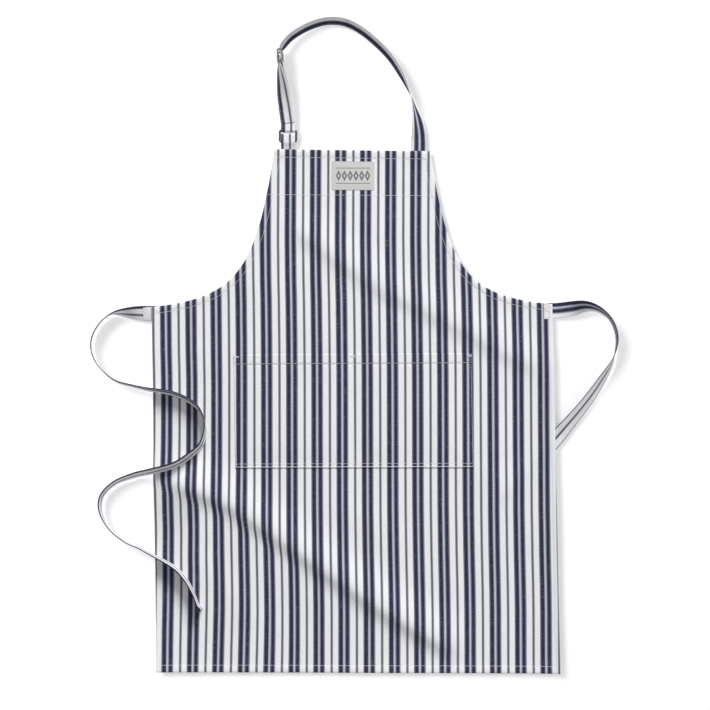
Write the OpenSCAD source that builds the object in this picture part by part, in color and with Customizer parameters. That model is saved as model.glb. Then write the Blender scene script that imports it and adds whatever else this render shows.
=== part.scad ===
// Striped butcher apron, laid flat with its front up and its bib towards +Y.
// X is across the apron, Z = 0 is the surface that it lies on.

/* [Body] */
// Height from bottom hem to bib top
apron_h = 860; // [840:1:880]
// Half width of the skirt
skirt_half = 330; // [325:1:335]
// Half width of the bib at its top edge
bib_half = 128; // [126:1:132]
// Thickness of one layer of cloth
ply = 0.8; // [0.6:0.1:0.8]
// Width of the facing sewn round each armhole
facing_w = 10.5; // [8:0.5:12]
// Depth of the facing behind the bib
bib_facing_h = 76; // [70:1:90]
// Width of the side hems
side_hem_w = 8; // [6:0.5:10]
// Depth of the bottom hem
bottom_hem_h = 12; // [10:1:20]

/* [Pocket] */
// Overall width of the pocket
pocket_w = 392; // [380:1:400]
// Height of the pocket
pocket_h = 188; // [180:1:190]
// Height of the pocket's top edge
pocket_top = -16; // [-20:1:-10]
// Depth of the hem along the pocket's top edge
pocket_hem_h = 17; // [14:1:20]

/* [Straps] */
// Width of the folded tape
tape_w = 25; // [24:0.5:25]
// Thickness of the folded tape
tape_t = 1.4; // [1.2:0.1:1.4]

/* [Hardware] */
// Diameter of the ring's wire
wire_d = 3.5; // [3:0.1:3.6]
// Width of the ring between the middles of its side bars
ring_w = 27; // [27:0.5:28]
// Width of the label
label_w = 70; // [60:1:80]
// Height of the label
label_h = 47; // [40:1:50]

/* [Hidden] */
$fn = 48;

white = "#e4e4e6";
navy = "#2f345a";
pale = "#c8d0de";

// Heights of the stacked layers
hem_t = 3 * ply;
panel_z = hem_t;
panel_top = panel_z + ply;
facing_z = panel_z - ply;
row_w = 0.8;
row_t = 0.25;

// Places along Y
bottom_y = -541;
top_y = bottom_y + apron_h;
corner_y = 63;
strap_behind = 22;

// Pocket
pocket_half = pocket_w / 2;
pocket_bottom = pocket_top - pocket_h;
seam_w = 3;
pocket_gap = 0.6;
pocket_lift = 0.3;

// Label
label_x = -4;
label_y = 277;
label_t = 0.7;

// Ring, its tab and the strap's turn round it
ring_x = -111;
ring_z = 3.6;
ring_tape_w = 22.6; // the tape is squeezed a little inside the ring
axis_y = 333;
ring_bar_gap = 18.5;
ring_corner_r = 2.4;
wire_r = wire_d / 2;
tab_r = 3;
tab_t = 1;
tab_fold_y = 343;
turn_in_r = 2.05;
turn_out_r = turn_in_r + tape_t;
turn_y = axis_y + ring_bar_gap;
turn_end_y = 358.4;

// Slider, standing on its edge round the neck strap
slider_x = -122;
slider_y = 472;
slider_tilt = 5.74;
slider_l = 20;
slider_bar_r = 1.3;
rail_t = 2.8;
rail_x0 = -5.9;
rail_x1 = 3.7;
rail_leg = 2.2;
rail_end = 3;
centre_bar_x = -4.2;
end_bar_x = 2.3;
end_bar_y = 8.4;
slider_z = 0.4;
slider_strap_z = 3.6;
loop_in_r = 1.6;

// Straps follow points [x, y, lowest z, twist, side offset]. The twist turns the
// tape's folded edge from the right-hand side of the route (0) through up (90)
// to the left-hand side (180).
neck_route = [
  [104, 335, 0.3, 180], [103, 348, 0.3, 172], [100, 366, 0.3, 150], [96, 385, 0.3, 120],
  [92, 404, 0.3, 98], [86, 424, 0.3, 88], [76, 447, 0.3, 80], [60, 473, 0.3, 75],
  [40, 495, 0.3, 70], [14, 517, 0.3, 68], [-12, 531, 0.3, 66], [-37, 535, 0.3, 66],
  [-60, 532, 0.3, 68], [-83, 521, 1, 72], [-104, 506, 2.4, 80], [-117, 494, 3.6, 88],
  [-123, 484, 3.6, 90], [-122.6, 478, 3.6, 90], [-122, 472, 3.6, 90], [-121, 462, 3.6, 90]
];
strand_route = [
  [-123, 460, 3.6, 90, 2.1], [-122, 448, 3.3, 96, 1.6], [-119.5, 430, 3, 111, 1.4],
  [-117, 410, 3, 131, 1.5], [-114, 390, 3, 150, 1.9], [-112, 372, 2.9, 170, 2.4],
  [-111, 360, 2.9, 180, 2.75]
];
left_root_route = [
  [-300, 52, 0.5, 0], [-332, 52, 0.5, 0], [-352, 52, 0.5, 10], [-372, 52, 0.5, 35],
  [-390, 51, 0.5, 72], [-402, 48.4, 0.5, 90]
];
left_route = [
  [-404, 47.4, 0.5, 90], [-419, 35, 0.5, 90], [-431, 15, 0.5, 88], [-434, -5, 0.5, 86],
  [-428, -26, 0.5, 88], [-413, -46, 0.5, 92], [-393, -61, 0.5, 97], [-365, -69, 2, 100],
  [-342, -74, 4.2, 102], [-297, -82, 4.2, 104], [-262, -101, 4.2, 102], [-247, -130, 4.2, 92],
  [-252, -162, 4.2, 76], [-270, -181, 4.2, 68], [-297, -198, 4.2, 66],
  [-342, -210, 4.2, 66], [-365, -216, 2, 68], [-395, -228, 0.5, 72],
  [-416, -249, 0.5, 76], [-418, -275, 0.5, 80], [-403, -305, 0.5, 92],
  [-376, -326, 2, 106], [-350, -337, 4.2, 112], [-302, -363, 4.2, 114],
  [-281, -383, 4.2, 114], [-266, -409, 4.2, 112], [-258, -429, 4.2, 110]
];
left_end_route = [[-257.8, -429.5, 4.2, 110], [-255.5, -437, 4.2, 110]];
right_route = [
  [302, 55, 0.5, 180], [330, 56, 0.5, 180], [355, 60, 0.5, 168], [377, 64, 0.5, 130],
  [397, 58, 0.5, 105], [416, 44, 0.5, 92], [427, 27, 0.5, 90], [431, 8, 0.5, 90],
  [428, -12, 0.5, 85], [420, -32, 0.5, 70], [406, -56, 0.5, 50], [387, -85, 0.5, 30],
  [366, -112, 0.4, 12], [346, -136, 0.2, 0], [326, -160, 0.1, 0], [286, -205, 0.1, 0],
  [244, -248, 0.1, 0], [200, -288, 0.1, 0], [154, -326, 0.1, 0], [106, -360, 0.1, 0],
  [56, -390, 0.1, 0], [4, -414, 0.1, 0], [-50, -430, 0.1, 0], [-102, -438, 0.1, 0]
];
// The right tie turns up about a line along Y between these two cuts
right_cut_in = 333;
right_cut_out = 335;

// Armhole edge: one cubic curve from the bib's corner to the side corner
arm_steps = 20;
function arm_hull() = [
  [bib_half, top_y], [bib_half + 31, top_y - 202],
  [skirt_half - 140, corner_y + 15], [skirt_half, corner_y]
];
function cubic(p, t) =
  pow(1 - t, 3) * p[0] + 3 * t * pow(1 - t, 2) * p[1] + 3 * t * t * (1 - t) * p[2] + pow(t, 3) * p[3];
function cubic_way(p, t) =
  pow(1 - t, 2) * (p[1] - p[0]) + 2 * t * (1 - t) * (p[2] - p[1]) + t * t * (p[3] - p[2]);
function arm_edge(inset, t0 = 0, t1 = 1) = [
  for (i = [0 : arm_steps])
    let (t = t0 + (t1 - t0) * i / arm_steps, d = cubic_way(arm_hull(), t))
      cubic(arm_hull(), t) + inset * [d.y, -d.x] / norm(d)
];
function reversed(p) = [for (i = [len(p) - 1 : -1 : 0]) p[i]];
function mirrored(p) = [for (q = p) [-q.x, q.y]];

// Smooth curve through the points of a route, with some steps between each two
function through(a, b, c, d, t) =
  0.5 * (2 * b + (c - a) * t + (2 * a - 5 * b + 4 * c - d) * t * t
  + (3 * b - a - 3 * c + d) * t * t * t);
function smooth(p, steps) = concat(
  [
    for (i = [0 : len(p) - 2], k = [0 : steps - 1])
      through(p[max(i - 1, 0)], p[i], p[i + 1], p[min(i + 2, len(p) - 1)], k / steps)
  ],
  [p[len(p) - 1]]
);

// Four corners of the tape's section at one point of its route
function tape_ring(p, way, thick, shift) =
  let (
    side = [way.y, -way.x, 0],
    across = cos(p[3]) * side + [0, 0, sin(p[3])],
    up = [0, 0, cos(p[3])] - sin(p[3]) * side,
    middle = [p.x, p.y, p.z + abs(sin(p[3])) * tape_w / 2 + abs(cos(p[3])) * thick / 2]
      + shift * up
  )
  [
    for (c = [[-1, -1], [1, -1], [1, 1], [-1, 1]])
      middle + c[0] * across * tape_w / 2 + c[1] * up * thick / 2
  ];

// Tape swept along a route; offset_sign moves it to either side of the route
module ribbon(route, steps = 2, thick = tape_t, offset_sign = 0) {
  p = smooth(route, steps);
  n = len(p);
  rings = [
    for (i = [0 : n - 1])
      let (a = p[max(i - 1, 0)], b = p[min(i + 1, n - 1)], way = [b.x - a.x, b.y - a.y])
        each tape_ring(p[i], way / norm(way), thick, offset_sign == 0 ? 0 : offset_sign * p[i][4])
  ];
  sides = [
    for (i = [0 : n - 2], k = [0 : 3])
      let (a = 4 * i + k, b = 4 * i + (k + 1) % 4)
        each [[a, b, b + 4], [a, b + 4, a + 4]]
  ];
  last = 4 * (n - 1);
  ends = [[2, 1, 0], [3, 2, 0], [last, last + 1, last + 2], [last, last + 2, last + 3]];
  polyhedron(points = rings, faces = [for (f = concat(sides, ends)) [f[2], f[1], f[0]]]);
}

module slab(x0, y0, x1, y1, z0, z1) {
  translate([x0, y0, z0]) cube([x1 - x0, y1 - y0, z1 - z0]);
}

module flat_shape(z0, z1, points) {
  translate([0, 0, z0]) linear_extrude(z1 - z0) polygon(points);
}

// Front cloth, cut in one piece
module body_panel() {
  edge = arm_edge(0);
  color(white)
    flat_shape(panel_z, panel_top, concat(
      edge,
      [[skirt_half, bottom_y], [-skirt_half, bottom_y]],
      mirrored(reversed(edge))
    ));
}

// Facing behind the bib; it covers the sewn ends of the strap and the tab
module bib_facing() {
  low_y = top_y - bib_facing_h;
  edge = [for (q = arm_edge(facing_w + 0.5, 0.05)) if (q.y > low_y + 2) q];
  half = concat(
    [[bib_half - 0.5, top_y], [bib_half + 1, top_y - strap_behind - 2]],
    edge,
    [[edge[len(edge) - 1].x, low_y]]
  );
  color(white) flat_shape(facing_z, panel_z, concat(half, mirrored(reversed(half))));
}

// Narrow facing round one armhole, from below the strap ends to the tie's root
module armhole_facing(side) {
  outer = arm_edge(0, 0.055, 0.9);
  shape = concat(outer, reversed(arm_edge(facing_w, 0.055, 0.9)));
  color(pale) flat_shape(0, panel_z, side > 0 ? shape : mirrored(shape));
}
module armhole_facing_left() { armhole_facing(-1); }
module armhole_facing_right() { armhole_facing(1); }

module side_hem_left() {
  color(white)
    slab(-skirt_half, bottom_y + bottom_hem_h, -skirt_half + side_hem_w, 37, 0, panel_z);
}

// The right hem leaves a way through for the tie that runs back under the skirt
module side_hem_right() {
  color(white) {
    slab(skirt_half - side_hem_w, bottom_y + bottom_hem_h, skirt_half, -196, 0, panel_z);
    slab(skirt_half - side_hem_w, -126, skirt_half, 37, 0, panel_z);
  }
}

module bottom_hem() {
  color(white)
    slab(-skirt_half, bottom_y, skirt_half, bottom_y + bottom_hem_h - 0.1, 0, panel_z);
}

module label() {
  color("#dcdcdc")
    slab(label_x - label_w / 2, label_y - label_h / 2, label_x + label_w / 2,
      label_y + label_h / 2, panel_top, panel_top + label_t);
}

// Loop of tape that holds the ring's lower bar
module ring_tab() {
  low = ring_z - tab_r;
  high = ring_z + tab_r;
  in_r = tab_r - tab_t;
  tail_top = facing_z - 0.1;
  outer = concat(
    [[top_y - strap_behind, low]],
    [for (a = [-90 : 15 : 90]) [tab_fold_y + tab_r * cos(a), ring_z + tab_r * sin(a)]],
    [[axis_y - 2, high], [top_y + 1, tail_top], [top_y - strap_behind, tail_top]]
  );
  slot = concat(
    [[axis_y - 6, low + tab_t]],
    [for (a = [-90 : 15 : 90]) [tab_fold_y + in_r * cos(a), ring_z + in_r * sin(a)]],
    [[axis_y - 1.8, high - tab_t]]
  );
  color(white)
    translate([ring_x - ring_tape_w / 2, 0, 0])
      rotate([90, 0, 90])
        linear_extrude(ring_tape_w)
          difference() {
            polygon(outer);
            polygon(slot);
          }
}

module neck_strap_root() {
  color(white)
    slab(104 - tape_w / 2, top_y - strap_behind, 104 + tape_w / 2, axis_y - 2, 0.1, 0.1 + tape_t);
}

module tie_root_left() {
  color(white) ribbon(left_root_route, 2);
}

module tie_root_right() {
  y = right_route[1].y;
  color(white)
    slab(302, y - tape_w / 2, right_cut_in, y + tape_w / 2, 0.5, 0.5 + tape_t);
}

// Stretch of the right tie on one side of a cut across it
module right_tie_part(x0, x1, y0, y1) {
  color(white)
    intersection() {
      ribbon(right_route, 2);
      slab(x0, y0, x1, y1, -1, 40);
    }
}
module tie_tail_right() { right_tie_part(-200, right_cut_in, -500, -100); }
module waist_tie_right() { right_tie_part(right_cut_out, 500, -500, 100); }

// Sewn edges of the pocket and the seam between its two halves
module pocket_border() {
  inner = pocket_half - seam_w;
  base = pocket_bottom + seam_w;
  color(white) {
    slab(-pocket_half, pocket_bottom, pocket_half, base, panel_top, panel_top + ply);
    slab(-pocket_half, base, -inner, pocket_top, panel_top, panel_top + ply);
    slab(inner, base, pocket_half, pocket_top, panel_top, panel_top + ply);
    slab(-seam_w / 2, base, seam_w / 2, pocket_top, panel_top, panel_top + ply);
  }
}

// Free cloth of one half of the pocket
module pocket_half_slab(side, y0, y1, z0, z1) {
  inner = seam_w / 2 + pocket_gap;
  outer = pocket_half - seam_w - pocket_gap;
  slab(side > 0 ? inner : -outer, y0, side > 0 ? outer : -inner, y1, z0, z1);
}
module pocket_panel(side) {
  z0 = panel_top + pocket_lift;
  color(white)
    pocket_half_slab(side, pocket_bottom + seam_w + pocket_gap, pocket_top - pocket_hem_h,
      z0, z0 + ply);
}
module pocket_hem(side) {
  z0 = panel_top + pocket_lift;
  color(white)
    pocket_half_slab(side, pocket_top - pocket_hem_h, pocket_top, z0, z0 + 2 * ply);
}
module pocket_panel_left() { pocket_panel(-1); }
module pocket_panel_right() { pocket_panel(1); }
module pocket_hem_left() { pocket_hem(-1); }
module pocket_hem_right() { pocket_hem(1); }

// One straight bar of wire between two points along X or Y
module wire_bar(x, y, z, l, turn) {
  translate([x, y, z]) rotate(turn) cylinder(h = l, r = wire_r, center = true);
}

module rounded_rect(w, l, r) {
  offset(r = r) square([w - 2 * r, l - 2 * r], center = true);
}

// Rectangular ring of round wire; its lower bar is the hinge of the neck loop
module ring() {
  r = ring_corner_r;
  middle = (axis_y + turn_y) / 2;
  color("#8d8f94") {
    for (y = [axis_y, turn_y]) wire_bar(ring_x, y, ring_z, ring_w - 2 * r, [0, 90, 0]);
    for (s = [-1, 1]) wire_bar(ring_x + s * ring_w / 2, middle, ring_z, ring_bar_gap - 2 * r, [90, 0, 0]);
    for (k = [0 : 3])
      translate([
        ring_x + (k == 0 || k == 3 ? 1 : -1) * (ring_w / 2 - r),
        middle + (k < 2 ? 1 : -1) * (ring_bar_gap / 2 - r),
        ring_z
      ])
        rotate([0, 0, 90 * k])
          rotate_extrude(angle = 90)
            translate([r, 0]) circle(r = wire_r, $fn = 32);
  }
}

// Strap's turn round the ring's upper bar
module strap_ring_turn() {
  color(navy)
    translate([ring_x - ring_tape_w / 2, turn_y, ring_z])
      rotate([90, 0, 90])
        linear_extrude(ring_tape_w) {
          difference() {
            circle(r = turn_out_r);
            circle(r = turn_in_r);
            translate([0, -turn_out_r]) square([turn_out_r, 2 * turn_out_r]);
          }
          for (z = [turn_in_r, -turn_out_r])
            translate([0, z]) square([turn_end_y - turn_y, tape_t]);
        }
}

// Two strands between the ring and the slider
module strand_front() {
  color(white) ribbon(strand_route, 3, tape_t, -1);
}
module strand_back() {
  color(pale) ribbon(strand_route, 3, tape_t, 1);
}

module neck_strap() {
  color(white) ribbon(neck_route, 3);
}

module at_slider() {
  translate([slider_x, slider_y, 0]) rotate([0, 0, slider_tilt]) children();
}

// Two open rails, two end bars and the bar that holds the strap's end
module slider() {
  top_rail_z = slider_z + rail_t + 25.8;
  rail_w = rail_x1 - rail_x0;
  color("#e8e8ea")
    at_slider() {
      for (z = [slider_z, top_rail_z])
        translate([(rail_x0 + rail_x1) / 2, 0, z])
          linear_extrude(rail_t)
            difference() {
              rounded_rect(rail_w, slider_l, 3.4);
              rounded_rect(rail_w - 2 * rail_leg, slider_l - 2 * rail_end, 1.6);
            }
      for (p = [[end_bar_x, end_bar_y], [end_bar_x, -end_bar_y], [centre_bar_x, 0]])
        translate([p.x, p.y, slider_z + rail_t / 2])
          cylinder(h = top_rail_z - slider_z, r = slider_bar_r);
    }
}

// End of the returning strand, turned over the slider's middle bar and sewn down
module strap_end_loop() {
  out_r = loop_in_r + 1.2;
  lead = 10;
  color(white)
    at_slider()
      translate([centre_bar_x, 0, slider_strap_z])
        linear_extrude(tape_w) {
          difference() {
            circle(r = out_r);
            circle(r = loop_in_r);
            translate([-out_r, -2 * out_r]) square([2 * out_r, 2 * out_r]);
          }
          for (x = [-out_r, loop_in_r]) translate([x, -lead]) square([1.2, lead]);
        }
}

module waist_tie_left() {
  color(white) ribbon(left_route, 2);
}

// Folded and hemmed end of the left tie
module tie_end_left() {
  color(pale) ribbon(left_end_route, 1, 2 * tape_t);
}

// Row of stitches, as one low ridge of thread
module thread_row(x0, y0, x1, y1, z) {
  slab(x0, y0, x1, y1, z, z + row_t);
}
module thread_bib() {
  color("white")
    for (y = [top_y - 13, top_y - bib_facing_h + 2])
      thread_row(-bib_half + 12, y, bib_half - 12, y + row_w, panel_top);
}
module thread_armhole(side) {
  shape = concat(arm_edge(facing_w - 1, 0.02, 0.97), reversed(arm_edge(facing_w - 1 + row_w, 0.02, 0.97)));
  color("white") flat_shape(panel_top, panel_top + row_t, side > 0 ? shape : mirrored(shape));
}
module thread_armhole_left() { thread_armhole(-1); }
module thread_armhole_right() { thread_armhole(1); }
module thread_sides() {
  x = skirt_half - side_hem_w + 1;
  color("white")
    for (s = [-1, 1])
      thread_row(s * x - row_w / 2, bottom_y + bottom_hem_h + 1, s * x + row_w / 2, 50, panel_top);
}
module thread_bottom() {
  color("white")
    thread_row(-skirt_half + 2, bottom_y + bottom_hem_h - 0.5, skirt_half - 2,
      bottom_y + bottom_hem_h - 0.5 + row_w, panel_top);
}
module thread_label() {
  inset = 2.5;
  z = panel_top + label_t;
  x = label_w / 2 - inset;
  y = label_h / 2 - inset;
  color("white")
    translate([label_x, label_y, z])
      linear_extrude(row_t)
        difference() {
          square([2 * x, 2 * y], center = true);
          square([2 * x - 2 * row_w, 2 * y - 2 * row_w], center = true);
        }
}

// Rows along the pocket's sides, bottom and middle seam, and its corner bar tacks
module thread_pocket() {
  z = panel_top + ply;
  x = pocket_half - seam_w / 2;
  y = pocket_bottom + seam_w / 2;
  color("white") {
    for (s = [-1, 0, 1]) thread_row(s * x - row_w / 2, y + row_w, s * x + row_w / 2, pocket_top - 1, z);
    thread_row(-x - row_w / 2, y, x + row_w / 2, y + row_w, z);
  }
}
module thread_pocket_hem(side) {
  y = pocket_top - pocket_hem_h + 1.5;
  z = panel_top + pocket_lift + 2 * ply;
  color("white") pocket_half_slab(side, y, y + row_w, z, z + row_t);
}
module thread_pocket_hem_left() { thread_pocket_hem(-1); }
module thread_pocket_hem_right() { thread_pocket_hem(1); }

body_panel();
bib_facing();
armhole_facing_left();
armhole_facing_right();
side_hem_left();
side_hem_right();
bottom_hem();
label();
ring_tab();
neck_strap_root();
tie_root_left();
tie_root_right();
tie_tail_right();
pocket_border();
pocket_panel_left();
pocket_panel_right();
pocket_hem_left();
pocket_hem_right();
ring();
strap_ring_turn();
strand_front();
strand_back();
neck_strap();
slider();
strap_end_loop();
waist_tie_left();
tie_end_left();
waist_tie_right();
thread_bib();
thread_armhole_left();
thread_armhole_right();
thread_sides();
thread_bottom();
thread_label();
thread_pocket();
thread_pocket_hem_left();
thread_pocket_hem_right();
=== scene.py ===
"""Looks of the striped butcher apron, laid flat with its front up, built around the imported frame."""
import math

import bpy
import bmesh
import numpy as np
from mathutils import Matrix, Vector
from mathutils.geometry import delaunay_2d_cdt


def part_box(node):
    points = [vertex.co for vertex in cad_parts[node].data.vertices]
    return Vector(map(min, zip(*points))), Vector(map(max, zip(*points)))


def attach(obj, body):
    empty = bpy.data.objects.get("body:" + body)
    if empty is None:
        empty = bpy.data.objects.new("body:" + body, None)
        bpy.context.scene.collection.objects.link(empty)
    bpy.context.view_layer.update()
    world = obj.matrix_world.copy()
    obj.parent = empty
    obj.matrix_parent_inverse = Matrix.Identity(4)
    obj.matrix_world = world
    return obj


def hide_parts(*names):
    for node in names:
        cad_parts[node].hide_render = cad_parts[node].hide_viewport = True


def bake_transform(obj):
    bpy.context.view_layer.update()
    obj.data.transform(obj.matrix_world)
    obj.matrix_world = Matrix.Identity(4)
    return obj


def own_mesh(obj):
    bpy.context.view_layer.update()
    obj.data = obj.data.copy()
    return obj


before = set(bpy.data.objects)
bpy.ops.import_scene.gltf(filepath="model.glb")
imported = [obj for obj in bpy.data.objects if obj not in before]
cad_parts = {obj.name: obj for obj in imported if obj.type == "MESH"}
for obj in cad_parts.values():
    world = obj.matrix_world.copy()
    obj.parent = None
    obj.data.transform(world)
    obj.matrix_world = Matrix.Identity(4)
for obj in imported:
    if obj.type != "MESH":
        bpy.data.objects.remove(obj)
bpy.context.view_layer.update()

# ------------------------------------------------------------------ sizes, in millimetres
MM = 0.001


def node_box(name):
    """Lowest and highest corner of a CAD node, in millimetres."""
    low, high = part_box(name)
    return np.array(low) / MM, np.array(high) / MM


panel_low, panel_high = node_box("body_panel")
SKIRT_HALF = panel_high[0]
TOP_Y = panel_high[1]
BOTTOM_Y = panel_low[1]
BIB_HALF = 128.0        # half the width of the bib's top edge
CORNER_Y = 63.0         # where the armholes meet the sides
HEM_TOP_Z = panel_high[2]
CLOTH_Z = HEM_TOP_Z - 0.8  # front face of the single cloth
CLOTH_T = 0.6
UNDER_Z = 0.3           # underside of the hems
FACING_T = 0.4
FACING_DEPTH = 76.0     # how far the bib's facing reaches down

# Distance from the edge to the stitch row: bib top, armholes, sides and bottom
ROW_TOP = 13.0
ROW_ARM = 10.5
ROW_SIDE = 7.0
ROW_BOTTOM = 12.0

TAPE_W = 25.0
TAPE_T = 1.4
TAPE_ROW = 1.8  # distance from a tape's open edge to its stitch row
STRIPE = 41.0  # one repeat of the stripe

pocket_low, pocket_high = node_box("pocket_border")
label_low, label_high = node_box("label")
ring_low, ring_high = node_box("ring")
tab_low, tab_high = node_box("ring_tab")

rng = np.random.RandomState(11)


def add_object(name, data):
    """A new object in the scene."""
    obj = bpy.data.objects.new(name, data)
    bpy.context.scene.collection.objects.link(obj)
    return obj


# ------------------------------------------------------------------ camera
CAMERA_WIDTH = 1.170
camera_data = bpy.data.cameras.new("camera")
camera_data.lens = 85
camera_data.sensor_width = 36
camera = add_object("camera", camera_data)
camera.location = (-0.0008, -0.0181, CAMERA_WIDTH * camera_data.lens / camera_data.sensor_width)
bpy.context.scene.camera = camera

# ------------------------------------------------------------------ routes of the tapes
# Points are [x, y, lowest z, twist], as in the CAD source. The twist turns the folded
# edge from the right-hand side of the route (0) through up (90) to the left (180).
LEFT_TIE = [
    [-304, 50, 0.5, 0], [-332, 50, 0.5, 4], [-350, 50.5, 0.5, 16], [-370, 51, 0.5, 42],
    [-390, 51, 0.5, 72], [-404, 47.4, 0.5, 92], [-419, 35, 0.5, 95], [-431, 15, 0.5, 96],
    [-434, -5, 0.5, 96], [-428, -26, 0.5, 96], [-413, -46, 0.5, 97], [-393, -61, 0.5, 99],
    [-365, -69, 2, 101], [-342, -74, 4.2, 104], [-297, -82, 4.2, 109], [-262, -101, 4.2, 108],
    [-247, -130, 4.2, 92], [-252, -162, 4.2, 76], [-270, -181, 4.2, 68],
    [-297, -198, 4.2, 66], [-342, -210, 4.2, 66], [-365, -216, 2, 68],
    [-395, -228, 0.5, 74], [-416, -249, 0.5, 80], [-418, -275, 0.5, 86],
    [-403, -305, 0.5, 96], [-376, -326, 2, 95], [-350, -337, 4.2, 92], [-302, -363, 4.2, 86],
    [-281, -383, 4.2, 84], [-266, -409, 4.2, 87], [-255.5, -437, 4.2, 88],
]
RIGHT_TIE = [
    [304, 55, 0.5, 180], [330, 55, 0.5, 180], [355, 58, 4.5, 168], [377, 61.5, 7.5, 134],
    [397, 57, 6.5, 110], [415, 44, 4, 97], [425, 27, 1.5, 94], [429, 8, 0.5, 92],
    [426.5, -12, 0.5, 85], [420, -32, 0.5, 70], [406, -56, 0.5, 54], [387, -85, 0.5, 42],
    [366, -112, 0.4, 34], [346, -136, 0.2, 22], [326, -160, 0.1, 2], [286, -205, 0.1, 0],
    [244, -248, 0.1, 0], [200, -288, 0.1, 0], [154, -326, 0.1, 0], [106, -360, 0.1, 0],
    [56, -390, 0.1, 0], [4, -414, 0.1, 0], [-50, -430, 0.1, 0], [-102, -438, 0.1, 0],
]
NECK_STRAP = [
    [104, 298, 0.2, 180], [104, 320, 0.2, 180], [104, 335, 0.3, 180], [103, 348, 0.3, 172],
    [100, 366, 0.3, 150], [96, 385, 0.3, 120], [92, 404, 0.3, 98], [86, 424, 0.3, 88],
    [76, 447, 0.3, 80], [60, 473, 0.3, 76], [40, 495, 0.3, 73], [14, 517, 0.3, 72],
    [-12, 531, 0.3, 72], [-37, 535, 0.3, 72], [-60, 532, 0.3, 72], [-85, 522, 1, 73],
    [-107.5, 507, 2.4, 74], [-119.5, 492, 3.6, 75], [-123, 484, 3.6, 78],
    [-122.6, 478, 3.6, 86], [-122, 472, 3.6, 90], [-121, 462, 3.6, 90],
]
# How far the strap's open edge and its folded edge turn out of line at each point, in degrees
NECK_CUP = [
    [0, 0], [0, 0], [0, -15], [0, -35], [0, -45], [0, -30], [0, 0], [18, 5], [35, 12], [45, 20],
    [50, 26], [52, 28], [52, 28], [52, 28], [52, 28], [50, 26], [42, 22], [26, 14], [12, 6],
    [0, 0], [0, 0], [0, 0],
]
# The strands between the slider and the ring also have a distance to either side.
STRANDS = [
    [-123, 461, 3.6, 98, 2.1], [-122, 448, 3.3, 113, 1.6], [-119.5, 430, 3, 130, 1.4],
    [-117, 410, 3, 147, 1.5], [-114, 390, 3, 160, 1.9], [-112, 372, 2.9, 172, 2.4],
    [-111, 362, 2.9, 180, 2.75],
]
STRAND_WIDTH = [1, 1, 1, 1, 0.97, 0.93, 0.904]
NECK_SPLIT = 12  # the neck strap is two pieces that meet at this point of its route


# ------------------------------------------------------------------ small helpers
def smoothstep(t):
    t = np.clip(t, 0, 1)
    return t * t * (3 - 2 * t)


def smooth_route(points, spacing):
    """Catmull-Rom curve through the points, resampled to an even spacing."""
    p = np.array(points, float)
    n = len(p)
    fine = []
    for i in range(n - 1):
        a, b, c, d = p[max(i - 1, 0)], p[i], p[i + 1], p[min(i + 2, n - 1)]
        for k in range(16):
            t = k / 16
            fine.append(0.5 * (2 * b + (c - a) * t + (2 * a - 5 * b + 4 * c - d) * t * t
                               + (3 * b - a - 3 * c + d) * t ** 3))
    fine.append(p[-1])
    return resample(np.array(fine), spacing)


def distances(line):
    """How far along a line each of its points is."""
    return np.concatenate([[0], np.cumsum(np.linalg.norm(np.diff(line, axis=0), axis=1))])


def unit(vectors):
    return vectors / np.linalg.norm(vectors, axis=1)[:, None]


def spaced(line, count, last=True):
    """This many evenly spaced points of a line, measured on its first three columns."""
    s = distances(line[:, :3])
    at = np.linspace(0, s[-1], count, endpoint=last)
    return np.stack([np.interp(at, s, line[:, k]) for k in range(line.shape[1])], axis=1)


def resample(line, spacing):
    """The same line with its points about this far apart."""
    return spaced(line, max(2, int(round(distances(line[:, :3])[-1] / spacing)) + 1))


def make_object(name, verts, faces, material, uvs):
    """Mesh object from points in millimetres; uvs holds one (u, v) in millimetres per face corner."""
    mesh = bpy.data.meshes.new(name)
    mesh.from_pydata((np.asarray(verts) * MM).tolist(), [], faces)
    layer = mesh.uv_layers.new(name="Cut")
    layer.data.foreach_set("uv", (np.asarray(uvs, float) * MM).ravel())
    mesh.polygons.foreach_set("use_smooth", [True] * len(mesh.polygons))
    mesh.materials.append(material)
    mesh.update()
    return add_object(name, mesh)


def apply_modifiers(obj):
    """Makes the object's modifiers part of its mesh."""
    depsgraph = bpy.context.evaluated_depsgraph_get()
    mesh = bpy.data.meshes.new_from_object(obj.evaluated_get(depsgraph))
    obj.modifiers.clear()
    obj.data = mesh
    return obj


def give_thickness(obj, thickness):
    """Thickens a sheet downwards, with crisp cut edges."""
    solid = obj.modifiers.new("thickness", "SOLIDIFY")
    solid.thickness = thickness * MM
    solid.offset = -1
    apply_modifiers(obj)
    obj.data.set_sharp_from_angle(angle=math.radians(50))
    return obj


def finish_piece(obj, body=None, replaces=()):
    """Puts a piece on the body it rides on, and hides the nodes it stands for."""
    if body:
        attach(obj, body)
    if replaces:
        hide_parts(*replaces)


# ------------------------------------------------------------------ materials
LIGHT = 1.08  # how bright a white surface comes out under the lights


def srgb(*rgb):
    """Linear base colour that renders as this 8-bit colour, at most 0.95."""
    linear = [c / 3294.6 if c <= 10 else ((c / 255 + 0.055) / 1.055) ** 2.4 for c in rgb]
    return (*[min(c / LIGHT, 0.95) for c in linear], 1.0)


NAVY = srgb(38, 41, 68)
MIXED = srgb(112, 112, 128)     # where pale and navy yarns meet
PALE_MIX = srgb(158, 157, 166)
WHITE = srgb(233, 233, 235)
GAP = srgb(186, 189, 200)
THIN = srgb(94, 94, 104)
CREAM = srgb(233, 232, 230)


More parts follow.
